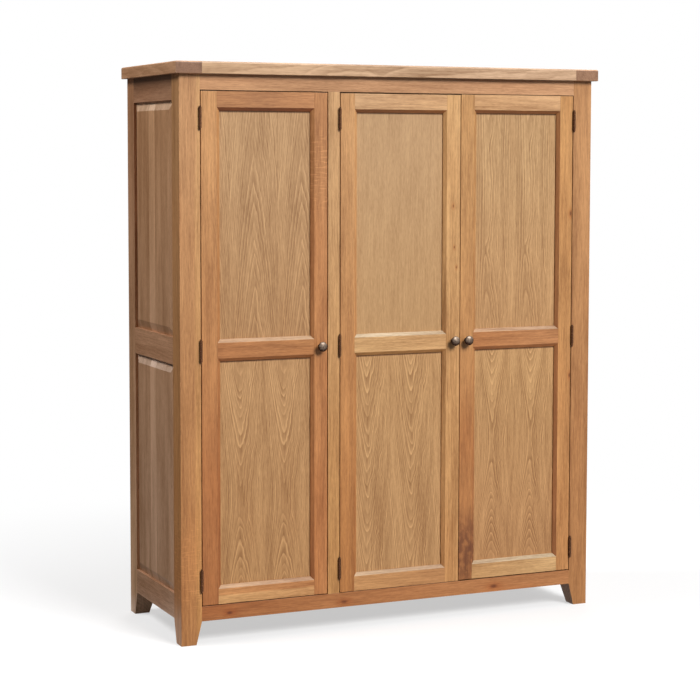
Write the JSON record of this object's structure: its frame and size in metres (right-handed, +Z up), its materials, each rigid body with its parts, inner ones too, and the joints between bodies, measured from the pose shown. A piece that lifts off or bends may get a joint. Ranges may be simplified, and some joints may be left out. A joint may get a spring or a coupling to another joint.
{
  "type": "wardrobe",
  "caption": "Free-standing oak wardrobe with hinged frame-and-panel doors, a hanging pole and a shelf in each bay, panelled sides and tapered feet.",
  "frame": {"origin": "on the floor, under the middle of the wardrobe's bounding box", "axes": "+Z up, the doors face -Y, +X to the right of someone facing the doors"},
  "size_m": [1.56, 0.585, 1.9],
  "materials": {
    "oak": "waxed solid oak, honey coloured",
    "oak_panel": "waxed oak panels with cathedral grain",
    "oak_board": "plain sanded oak boards",
    "hinge_metal": "dark antique bronze",
    "knob_metal": "dark antique pewter, rubbed on the face",
    "magnet": "plain grey"
  },
  "bodies": {
    "carcass": {"post_front_left": "oak", "post_front_right": "oak", "post_rear_left": "oak", "post_rear_right": "oak", "front_top_rail": "oak", "front_bottom_rail": "oak", "front_mullion": "oak", "rear_rails": "oak", "side_left_bottom_rail": "oak", "side_left_middle_rail": "oak", "side_left_top_rail": "oak", "side_left_panels": "oak_panel", "side_right_bottom_rail": "oak", "side_right_middle_rail": "oak", "side_right_top_rail": "oak", "side_right_panels": "oak_panel", "back_boards": "oak_board", "top_board": "oak", "top_end_caps": "oak", "base_panel": "oak_board", "partition_panel": "oak_board", "shelves": "oak_board", "shelf_bearers": "oak", "hanging_poles": "oak", "pole_cradles": "oak", "door_stops": "oak", "catch_magnets": "magnet", "hinge_frame_leaves": "hinge_metal"},
    "door_left": {"door_left_hinge_stile": "oak", "door_left_lock_stile": "oak", "door_left_bottom_rail": "oak", "door_left_middle_rail": "oak", "door_left_top_rail": "oak", "door_left_lower_panel": "oak_panel", "door_left_upper_panel": "oak_panel", "door_left_hinge_leaves": "hinge_metal", "door_left_knob_and_keeper": "knob_metal"},
    "door_middle": {"door_middle_hinge_stile": "oak", "door_middle_lock_stile": "oak", "door_middle_bottom_rail": "oak", "door_middle_middle_rail": "oak", "door_middle_top_rail": "oak", "door_middle_lower_panel": "oak_panel", "door_middle_upper_panel": "oak_panel", "door_middle_hinge_leaves": "hinge_metal", "door_middle_knob_and_keeper": "knob_metal"},
    "door_right": {"door_right_hinge_stile": "oak", "door_right_lock_stile": "oak", "door_right_bottom_rail": "oak", "door_right_middle_rail": "oak", "door_right_top_rail": "oak", "door_right_lower_panel": "oak_panel", "door_right_upper_panel": "oak_panel", "door_right_hinge_leaves": "hinge_metal", "door_right_knob_and_keeper": "knob_metal"}
  },
  "joints": [
    {"name": "door_left_hinge", "type": "hinge", "parent": "carcass", "child": "door_left", "pos_m": [-0.69325, -0.2693, 0.966], "axis": [0, 0, -1], "range_deg": [0, 175]},
    {"name": "door_middle_hinge", "type": "hinge", "parent": "carcass", "child": "door_middle", "pos_m": [-0.20225, -0.2693, 0.966], "axis": [0, 0, -1], "range_deg": [0, 145]},
    {"name": "door_right_hinge", "type": "hinge", "parent": "carcass", "child": "door_right", "pos_m": [0.69325, -0.2693, 0.966], "axis": [0, 0, 1], "range_deg": [0, 175]}
  ]
}
